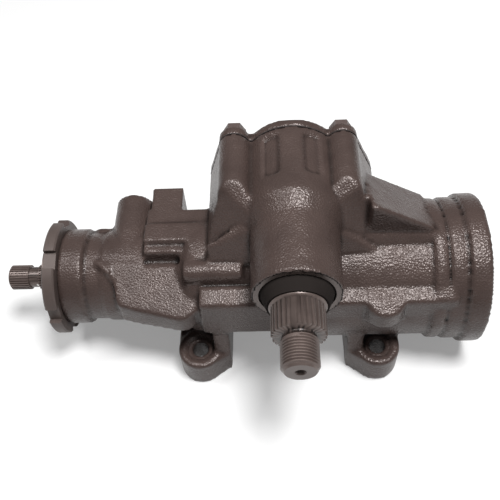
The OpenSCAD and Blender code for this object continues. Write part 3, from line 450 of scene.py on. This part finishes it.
# %% [markdown]
# Then one ridge is wound round the core. It is a small section, spun through nine turns by steps that also
# move along the shaft, and its foot sinks a little into the core so that no gap shows.

# %% Ridge of the thread
THREAD_R = 11.05
THREAD_PITCH = 1.81
THREAD_TURNS = 9.2
TURN_STEPS = 48
RIDGE_START = -83.6
RIDGE_FOOT_R = CORE_R - 0.15
HALF_FOOT = THREAD_PITCH * 0.46
HALF_CREST = THREAD_PITCH * 0.08
RIDGE_PROFILE = [(RIDGE_FOOT_R, RIDGE_START + HALF_FOOT), (THREAD_R, RIDGE_START + HALF_CREST),
                 (THREAD_R, RIDGE_START - HALF_CREST), (RIDGE_FOOT_R, RIDGE_START - HALF_FOOT)]


def wound(bm, profile):
    """Winds a closed section round the sector axis as a helix."""
    section = bm.faces.new([bm.verts.new(point) for point in on_shaft(profile)])
    step = Vector((0, -THREAD_PITCH / TURN_STEPS * MM, 0))
    bmesh.ops.spin(bm, geom=[section], cent=shaft_axis, axis=(0, 1, 0), dvec=step,
                   angle=THREAD_TURNS * 2 * math.pi, steps=round(THREAD_TURNS * TURN_STEPS),
                   use_merge=False, use_normal_flip=False, use_duplicate=False)


wound(thread, RIDGE_PROFILE)
bmesh.ops.remove_doubles(thread, verts=thread.verts, dist=0.1 * MERGE_GAP)
bmesh.ops.recalc_face_normals(thread, faces=thread.faces)
for face in thread.faces:
    face.smooth = True
print("faces of core and ridge:", len(thread.faces))

# %% [markdown]
# Last, a plane cuts the plain end off a copy of the shaft's solid, the cut is filled, and the threaded end
# joins it. Edges that bend by more than 32 degrees are marked sharp, so that the spline and the thread stay
# crisp while the round faces look smooth.

# %% Pitman shaft
SHARP_ANGLE = math.radians(32)
shaft_form = merged_copy("sector_shaft")
whole_shaft = shaft_form.verts[:] + shaft_form.edges[:] + shaft_form.faces[:]
bmesh.ops.bisect_plane(shaft_form, geom=whole_shaft, plane_co=(0, THREAD_START * MM, 0),
                       plane_no=(0, -1, 0), clear_outer=True)
bmesh.ops.holes_fill(shaft_form, edges=[e for e in shaft_form.edges if e.is_boundary])
thread_mesh = bpy.data.meshes.new("thread_end")
thread.to_mesh(thread_mesh)
thread.free()
shaft_form.from_mesh(thread_mesh)
bpy.data.meshes.remove(thread_mesh)
pitman = new_piece("pitman_shaft", shaft_form)
pitman.data.set_sharp_from_angle(angle=SHARP_ANGLE)
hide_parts("sector_shaft")
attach(pitman, "sector")
print("pitman shaft faces:", len(pitman.data.polygons))

# %% [markdown]
# The finishes are made of shader nodes. An effect that several finishes share is a node group with named
# inputs and outputs, so that it is built once and set differently in each place. Three helpers keep the
# code for groups and materials short: one starts a group, one adds a node with its values, one links two.

# %% Node helpers
NUMBER, VECTOR = "NodeSocketFloat", "NodeSocketVector"


def new_group(name, inputs, outputs):
    """A shader node group with named sockets, and its input and output nodes."""
    group = bpy.data.node_groups.new(name, "ShaderNodeTree")
    for label, kind, value in inputs:
        socket = group.interface.new_socket(label, in_out="INPUT", socket_type=kind)
        if value is not None:
            socket.default_value = value
    for label, kind in outputs:
        group.interface.new_socket(label, in_out="OUTPUT", socket_type=kind)
    return group, group.nodes.new("NodeGroupInput"), group.nodes.new("NodeGroupOutput")


def add(tree, kind, **settings):
    """A node with some of its settings and input values given."""
    node = tree.nodes.new(kind)
    for key, value in settings.items():
        if key in node.inputs:
            node.inputs[key].default_value = value
        else:
            setattr(node, key, value)
    return node


def join(tree, source, out, target, into):
    """A link from an output of one node to an input of another."""
    tree.links.new(source.outputs[out], target.inputs[into])


print("sockets of the groups are of kinds", NUMBER, "and", VECTOR)

# %% [markdown]
# Sand grains leave a pebbled skin on iron, and a dip coat rounds it off: it looks like leather from near by
# and sparkles from far. Three textures make it. Smooth cells of a millimetre or so give the pebbles, which
# a broad noise makes deeper in some patches than in others. A finer noise adds a trace of grit: much of it
# would scatter the highlights and make the coat dull. The broad noise also varies the tone of the coat, and
# the fine one its gloss.

# %% Cast grain
PEBBLES_PER_M = 800.0
GRIT_PER_M = 1500.0
PATCHES_PER_M = 38.0
GRIT_WEIGHT = 0.06


def cast_grain_group():
    """Pebbles, tone and gloss of coated cast iron."""
    group, given, result = new_group(
        "cast_grain",
        [("Vector", VECTOR, None), ("Pebbles", NUMBER, PEBBLES_PER_M), ("Grit", NUMBER, GRIT_PER_M)],
        [("Height", NUMBER), ("Tone", NUMBER), ("Gloss", NUMBER)])
    cells = add(group, "ShaderNodeTexVoronoi", feature="SMOOTH_F1", Smoothness=0.25)
    grit = add(group, "ShaderNodeTexNoise", Detail=3.0, Roughness=0.6)
    broad = add(group, "ShaderNodeTexNoise", Scale=PATCHES_PER_M, Detail=4.0, Roughness=0.6)
    patchy = add(group, "ShaderNodeMath", operation="MULTIPLY")
    mixed = add(group, "ShaderNodeMath", operation="MULTIPLY_ADD")
    for texture in (cells, grit, broad):
        join(group, given, "Vector", texture, "Vector")
    join(group, given, "Pebbles", cells, "Scale")
    join(group, given, "Grit", grit, "Scale")
    join(group, cells, "Distance", patchy, 0)
    join(group, broad, "Fac", patchy, 1)
    mixed.inputs[1].default_value = GRIT_WEIGHT
    join(group, grit, "Fac", mixed, 0)
    join(group, patchy, "Value", mixed, 2)
    join(group, mixed, "Value", result, "Height")
    join(group, broad, "Fac", result, "Tone")
    join(group, grit, "Fac", result, "Gloss")
    return group


cast_grain = cast_grain_group()
print(cast_grain.name, "nodes:", len(cast_grain.nodes))

# %% [markdown]
# A coat wears thin on edges, and its corners lie in shade. Cycles measures how sharply a surface bends at
# each point, with one half for a flat face. Two ranges of that number give a mask for rubbed edges and one
# for corners, where shade is painted into the colour.

# %% Rubbed edges and painted shade in corners
EDGE_START, EDGE_END = 0.55, 0.66
CORNER_START, CORNER_END = 0.495, 0.44


def edge_wear_and_shade_group():
    """Masks for rubbed edges and for painted shade in corners."""
    group, given, result = new_group(
        "edge_wear_and_shade", [("Edge Start", NUMBER, EDGE_START), ("Edge End", NUMBER, EDGE_END)],
        [("Edge", NUMBER), ("Corner", NUMBER)])
    bend = add(group, "ShaderNodeNewGeometry")
    edge = add(group, "ShaderNodeMapRange")
    corner = add(group, "ShaderNodeMapRange")
    corner.inputs["From Min"].default_value = CORNER_START
    corner.inputs["From Max"].default_value = CORNER_END
    join(group, bend, "Pointiness", edge, "Value")
    join(group, bend, "Pointiness", corner, "Value")
    join(group, given, "Edge Start", edge, "From Min")
    join(group, given, "Edge End", edge, "From Max")
    join(group, edge, "Result", result, "Edge")
    join(group, corner, "Result", result, "Corner")
    return group


edge_wear_and_shade = edge_wear_and_shade_group()
print(edge_wear_and_shade.name, "nodes:", len(edge_wear_and_shade.nodes))

# %% [markdown]
# A lathe leaves fine rings round a turned part. Noise that is stretched hard along two directions changes
# only along the third, so on a shaft it gives rings. The direction is chosen by a scale for each axis. A
# second, even noise gives the stains of handling.

# %% Turned rings
STAINS_PER_M = 90.0


def turned_rings_group():
    """Rings of the lathe and stains."""
    group, given, result = new_group(
        "turned_rings", [("Vector", VECTOR, None), ("Stretch", VECTOR, (1.0, 1.0, 1.0))],
        [("Height", NUMBER), ("Tone", NUMBER)])
    stretched = add(group, "ShaderNodeVectorMath", operation="MULTIPLY")
    rings = add(group, "ShaderNodeTexNoise", Scale=1.0, Detail=3.0, Roughness=0.7)
    stain = add(group, "ShaderNodeTexNoise", Scale=STAINS_PER_M, Detail=3.0)
    join(group, given, "Vector", stretched, 0)
    join(group, given, "Stretch", stretched, 1)
    join(group, stretched, "Vector", rings, "Vector")
    join(group, given, "Vector", stain, "Vector")
    join(group, rings, "Fac", result, "Height")
    join(group, stain, "Fac", result, "Tone")
    return group


turned_rings = turned_rings_group()
print(turned_rings.name, "nodes:", len(turned_rings.nodes))

# %% [markdown]
# Each finish is one Principled shader that these groups feed. A few more helpers start a finish, mix two
# colours by a mask, turn a height into a bump and darken a colour for painted shade, and every finish below
# is put together from them. A Mix node has sockets for numbers, vectors and colours under the same names, so
# its colour sockets are picked by their place.

# %% Finish helpers
MIX_FIRST, MIX_SECOND, MIX_RESULT = 6, 7, 2
finishes = {}


def new_finish(name, rough, metallic):
    """A material, its node tree, its shader and its texture coordinates."""
    finish = bpy.data.materials.new(name)
    finish.use_nodes = True
    tree = finish.node_tree
    shader = tree.nodes["Principled BSDF"]
    shader.inputs["Roughness"].default_value = rough
    shader.inputs["Metallic"].default_value = metallic
    return finish, tree, shader, add(tree, "ShaderNodeTexCoord")


def mixed_colour(tree, factor, out, dark, light):
    """A colour between two, by a node's output."""
    mix = add(tree, "ShaderNodeMix", data_type="RGBA")
    join(tree, factor, out, mix, "Factor")
    for socket, value in ((mix.inputs[MIX_FIRST], dark), (mix.inputs[MIX_SECOND], light)):
        if isinstance(value, bpy.types.NodeSocket):
            tree.links.new(value, socket)
        else:
            socket.default_value = (*value, 1.0)
    return mix.outputs[MIX_RESULT]


def bump(tree, source, out, shader, strength, depth):
    """Lets a height bend the light on a shader."""
    node = add(tree, "ShaderNodeBump", Strength=strength, Distance=depth)
    join(tree, source, out, node, "Height")
    join(tree, node, "Normal", shader, "Normal")


def corner_shade(colour, share):
    """A colour darkened to a share of itself, as painted shade in corners."""
    return [share * c for c in colour]


# %% [markdown]
# The castings and the cover bolts carry a dark warm coat with a faint metallic sheen. It is paler where the
# broad noise says so, painted black in corners as shade, and rubbed on edges. Its gloss varies with the
# grit, so that single pebbles sparkle under the lamp while the coat as a whole stays soft.

# %% Coat on cast iron
COAT_DARK = (0.046, 0.0315, 0.028)
COAT_LIGHT = (0.110, 0.077, 0.068)
COAT_RUBBED = (0.16, 0.125, 0.118)
COAT_METALLIC = 0.15
COAT_SHEEN = 0.36
# The coat is painted darker in corners, down to this share of its dark tone, as shade.
COAT_CORNER_SHADE = 0.22
PEBBLE_HEIGHT = 0.5 * MM
GRIT_LOW, GRIT_HIGH = 0.3, 0.7
SMOOTHER, ROUGHER = 0.06, 0.14
COAT_ROUGHNESS = {"housing_iron": 0.28, "cover_iron": 0.26, "bolt_steel": 0.31}


def cast_coat(name, rough):
    """The coat on cast iron, at a given roughness."""
    finish, tree, shader, place = new_finish(name, rough, COAT_METALLIC)
    grain = add(tree, "ShaderNodeGroup", node_tree=cast_grain)
    wear_and_shade_masks = add(tree, "ShaderNodeGroup", node_tree=edge_wear_and_shade)
    join(tree, place, "Object", grain, "Vector")
    body = mixed_colour(tree, grain, "Tone", COAT_DARK, COAT_LIGHT)
    # Corners get painted shade here, and edges their wear.
    corner_shaded = mixed_colour(tree, wear_and_shade_masks, "Corner", body, corner_shade(COAT_DARK, COAT_CORNER_SHADE))
    worn = mixed_colour(tree, wear_and_shade_masks, "Edge", corner_shaded, COAT_RUBBED)
    tree.links.new(worn, shader.inputs["Base Color"])
    gloss = add(tree, "ShaderNodeMapRange")
    gloss.inputs["From Min"].default_value = GRIT_LOW
    gloss.inputs["From Max"].default_value = GRIT_HIGH
    gloss.inputs["To Min"].default_value = rough - SMOOTHER
    gloss.inputs["To Max"].default_value = rough + ROUGHER
    join(tree, grain, "Gloss", gloss, "Value")
    join(tree, gloss, "Result", shader, "Roughness")
    shader.inputs["Specular IOR Level"].default_value = COAT_SHEEN
    bump(tree, grain, "Height", shader, 1.0, PEBBLE_HEIGHT)
    return finish


for name, rough in COAT_ROUGHNESS.items():
    finishes[name] = cast_coat(name, rough)
print("cast coats:", list(COAT_ROUGHNESS))

# %% [markdown]
# The same coat lies thinly on the shafts, the plugs and the nuts, so they are warm and only partly metallic.
# The bearings, the worm and the spool inside are bright steel, and the cover's bush and the port seats are
# bronze. Most are turned parts: a stretch along Y gives the rings of the sector shaft, and one along X
# those of the pieces round the worm.

# %% Turned metals
ALONG_Y = (40.0, 6000.0, 40.0)
ALONG_X = (6000.0, 40.0, 40.0)
# The metals get painted shade in corners and in the grooves of the splines, at this share of their dark
# tone.
METAL_CORNER_SHADE = 0.2
RING_STRENGTH, RING_HEIGHT = 0.25, 0.06 * MM
METALS = {
    "shaft_steel": ((0.085, 0.063, 0.056), (0.21, 0.163, 0.147), 0.32, ALONG_Y, 0.3),
    "bearing_steel": ((0.42, 0.41, 0.40), (0.56, 0.55, 0.54), 0.25, ALONG_X, 1.0),
    "plug_steel": ((0.085, 0.064, 0.057), (0.15, 0.118, 0.107), 0.36, ALONG_X, 0.4),
    "zinc_nut": ((0.075, 0.056, 0.050), (0.135, 0.104, 0.094), 0.50, ALONG_X, 0.2),
    "bronze": ((0.36, 0.23, 0.10), (0.50, 0.34, 0.16), 0.32, ALONG_Y, 1.0),
}


def turned_metal(name, dark, light, rough, stretch, metallic):
    """A metal between two tones, with the rings of a lathe and shade painted into its corners."""
    finish, tree, shader, place = new_finish(name, rough, metallic)
    rings = add(tree, "ShaderNodeGroup", node_tree=turned_rings)
    rings.inputs["Stretch"].default_value = stretch
    wear_and_shade_masks = add(tree, "ShaderNodeGroup", node_tree=edge_wear_and_shade)
    join(tree, place, "Object", rings, "Vector")
    body = mixed_colour(tree, rings, "Tone", dark, light)
    # Corners and grooves get painted shade here.
    corner_shaded = mixed_colour(tree, wear_and_shade_masks, "Corner", body, corner_shade(dark, METAL_CORNER_SHADE))
    tree.links.new(corner_shaded, shader.inputs["Base Color"])
    bump(tree, rings, "Height", shader, RING_STRENGTH, RING_HEIGHT)
    return finish


for name, look in METALS.items():
    finishes[name] = turned_metal(name, *look)
print("turned metals:", list(METALS))

# %% [markdown]
# Rubber seals, plastic rings and the paper gasket are matt. They need no rings and no wear, only a very fine
# grain, so they use the cast grain with smaller cells and a low bump. The shade painted on the end of the
# boss has the same look.

# %% Matt finishes
FINE_CELLS_PER_M = 1400.0
FINE_STRENGTH, FINE_HEIGHT = 0.12, 0.1 * MM
MATTS = {
    "seal_rubber": ((0.014, 0.011, 0.010), (0.026, 0.021, 0.019), 0.85, 0.1),
    "ring_plastic": ((0.24, 0.15, 0.07), (0.32, 0.21, 0.11), 0.5, 0.5),
    "gasket": ((0.026, 0.020, 0.0185), (0.050, 0.039, 0.037), 0.6, 0.5),
    # The last finish is painted shade for the end of the boss.
    "painted_shade_face": ((0.012, 0.009, 0.008), (0.030, 0.023, 0.021), 0.6, 0.15),
}


def matt(name, dark, light, rough, sheen):
    """A finish without metal, between two tones."""
    finish, tree, shader, place = new_finish(name, rough, 0.0)
    shader.inputs["Specular IOR Level"].default_value = sheen
    grain = add(tree, "ShaderNodeGroup", node_tree=cast_grain)
    grain.inputs["Pebbles"].default_value = FINE_CELLS_PER_M
    join(tree, place, "Object", grain, "Vector")
    tree.links.new(mixed_colour(tree, grain, "Tone", dark, light), shader.inputs["Base Color"])
    bump(tree, grain, "Height", shader, FINE_STRENGTH, FINE_HEIGHT)
    return finish


for name, look in MATTS.items():
    finishes[name] = matt(name, *look)
print("matt finishes:", list(MATTS))

# %% [markdown]
# The record names a material slot for every solid, so one loop dresses them all, and the three new pieces
# follow. The machined end of the boss faces down and to the front, and its shade is painted on as a near
# black matt finish round the seal. It is part of the casting, so the housing gets a second material for the
# faces there.

# %% Finishes on the pieces
# Faces this near the end of the boss and this close to its axis get painted shade.
SHADE_DEPTH = 1.3
SHADE_R = 27.4
for part in frame["record"]["subparts"]:
    data = nodes[part["node"]].data
    data.materials.clear()
    data.materials.append(finishes[part["material_slot"]])
for piece, slot in ((housing, "housing_iron"), (cover, "cover_iron"), (pitman, "shaft_steel")):
    piece.data.materials.append(finishes[slot])
# The housing's second material is the painted shade at the end of the boss.
housing.data.materials.append(finishes["painted_shade_face"])
shaded = [f for f in housing.data.polygons
         if f.center.y / MM < BOSS_END + SHADE_DEPTH and from_sector(f.center) < SHADE_R]
shade_index = housing.data.materials.find("painted_shade_face")
for face in shaded:
    face.material_index = shade_index
print("finishes:", len(finishes), "grimy faces at the boss end:", len(shaded))

# %% [markdown]
# The gear stands on its feet on a plain pale floor. To the camera, and in reflections, the floor is nearly
# white and glows a little. All other light meets a darker grey, so that the floor throws little light back
# on the gear. A Light Path node tells these rays apart.

# %% Floor
FLOOR_SIZE = 6
FLOOR_ROUGH = 0.9
FLOOR_GREY, FLOOR_PALE = (0.30, 0.30, 0.30), (0.72, 0.72, 0.72)
NO_GLOW, FLOOR_GLOW = (0.0, 0.0, 0.0), (0.26, 0.26, 0.26)


def floor_finish():
    """Pale to the camera and in reflections, grey to all other light."""
    finish, tree, shader, _ = new_finish("pale_floor", FLOOR_ROUGH, 0.0)
    shader.inputs["Specular IOR Level"].default_value = 0.0
    path = add(tree, "ShaderNodeLightPath")
    mirrored = add(tree, "ShaderNodeMath", operation="MAXIMUM")
    seen = add(tree, "ShaderNodeMath", operation="MAXIMUM")
    join(tree, path, "Is Glossy Ray", mirrored, 0)
    join(tree, path, "Is Transmission Ray", mirrored, 1)
    join(tree, path, "Is Camera Ray", seen, 0)
    join(tree, mirrored, "Value", seen, 1)
    grey = mixed_colour(tree, seen, "Value", FLOOR_GREY, FLOOR_PALE)
    glow = mixed_colour(tree, seen, "Value", NO_GLOW, FLOOR_GLOW)
    tree.links.new(grey, shader.inputs["Base Color"])
    tree.links.new(glow, shader.inputs["Emission Color"])
    shader.inputs["Emission Strength"].default_value = 1.0
    return finish


floor_form = bmesh.new()
bmesh.ops.create_grid(floor_form, x_segments=1, y_segments=1, size=FLOOR_SIZE)
floor = new_piece("floor", floor_form)
floor.data.materials.append(floor_finish())
floor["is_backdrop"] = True
print("floor width in metres:", round(floor.dimensions.x, 1))

# %% [markdown]
# A soft round lamp hangs almost straight above the gear, a little to the right. Its mirror image lies on top
# of the barrel, the shelf and the pad, and makes them sparkle. A weaker one above the left end gives the
# sheen on the neck, and the world adds a little even light. Standard colours keep tones as they are set.

# %% Light
WORLD_LIGHT = 0.12


def soft_lamp(name, place, aim, size, watts):
    """A round area lamp at a place, turned to what it lights."""
    lamp = bpy.data.lights.new(name, "AREA")
    lamp.shape = "DISK"
    lamp.size = size
    lamp.energy = watts
    holder = bpy.data.objects.new(name, lamp)
    holder.location = place
    holder.rotation_euler = (Vector(aim) - Vector(place)).to_track_quat("-Z", "Y").to_euler()
    bpy.context.scene.collection.objects.link(holder)
    print(name, "of", watts, "W")


soft_lamp("key_lamp", place=(0.24, -0.13, 1.32), aim=(0.02, 0, 0.06), size=0.42, watts=18)
soft_lamp("left_lamp", place=(-0.55, 0.08, 1.2), aim=(-0.08, 0, 0.05), size=0.3, watts=4.5)
world = bpy.data.worlds.new("studio")
world.use_nodes = True
world.node_tree.nodes["Background"].inputs["Color"].default_value = (1.0, 1.0, 1.0, 1.0)
world.node_tree.nodes["Background"].inputs["Strength"].default_value = WORLD_LIGHT
bpy.context.scene.world = world
bpy.context.scene.view_settings.view_transform = "Standard"

# %% [markdown]
# The camera looks down on the pitman side. Its distance and lens come from the spread between the near
# foot and the far dome in the photograph, and a small turn and roll set the worm axis as it lies there.

# %% Camera
FOCUS_PX = 684.0
FRAME_PX = 500.0
AIM_PX = (46.3, -20.6)
DISTANCE = 0.4703
LOOK_DOWN = math.radians(54.38)
TURN = math.radians(-3.9)
ROLL = math.radians(4.64)
SENSOR_MM = 36
CLIP_START = 0.02
TARGET_X = 6.8
target = Vector((TARGET_X, 0, WORM_Z)) * MM
forward = Vector((math.sin(TURN) * math.cos(LOOK_DOWN), math.cos(TURN) * math.cos(LOOK_DOWN),
                  -math.sin(LOOK_DOWN)))
right = Vector((math.cos(TURN), -math.sin(TURN), 0))
up = right.cross(forward)
cam_right = right * math.cos(ROLL) - up * math.sin(ROLL)
cam_up = up * math.cos(ROLL) + right * math.sin(ROLL)
sight = forward + cam_right * (AIM_PX[0] / FOCUS_PX) + cam_up * (AIM_PX[1] / FOCUS_PX)
eye = target - DISTANCE * sight
turn_to_view = Matrix((cam_right, cam_up, -forward)).transposed().to_4x4()
camera = bpy.data.objects.new("camera", bpy.data.cameras.new("camera"))
camera.data.sensor_width = SENSOR_MM
camera.data.lens = SENSOR_MM * FOCUS_PX / FRAME_PX
camera.data.clip_start = CLIP_START
camera.matrix_world = Matrix.Translation(eye) @ turn_to_view
bpy.context.scene.collection.objects.link(camera)
bpy.context.scene.camera = camera
print("camera at", [round(c, 3) for c in eye])

# %% [markdown]
# The dressed gear must stay as large as the solids. The lengths of both boxes along the worm are printed.

# %% Sizes and finish
low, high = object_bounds()
cad_length, length = cad_high.x - cad_low.x, high.x - low.x
print("length in mm of the solids:", round(cad_length / MM, 1), "dressed:", round(length / MM, 1))
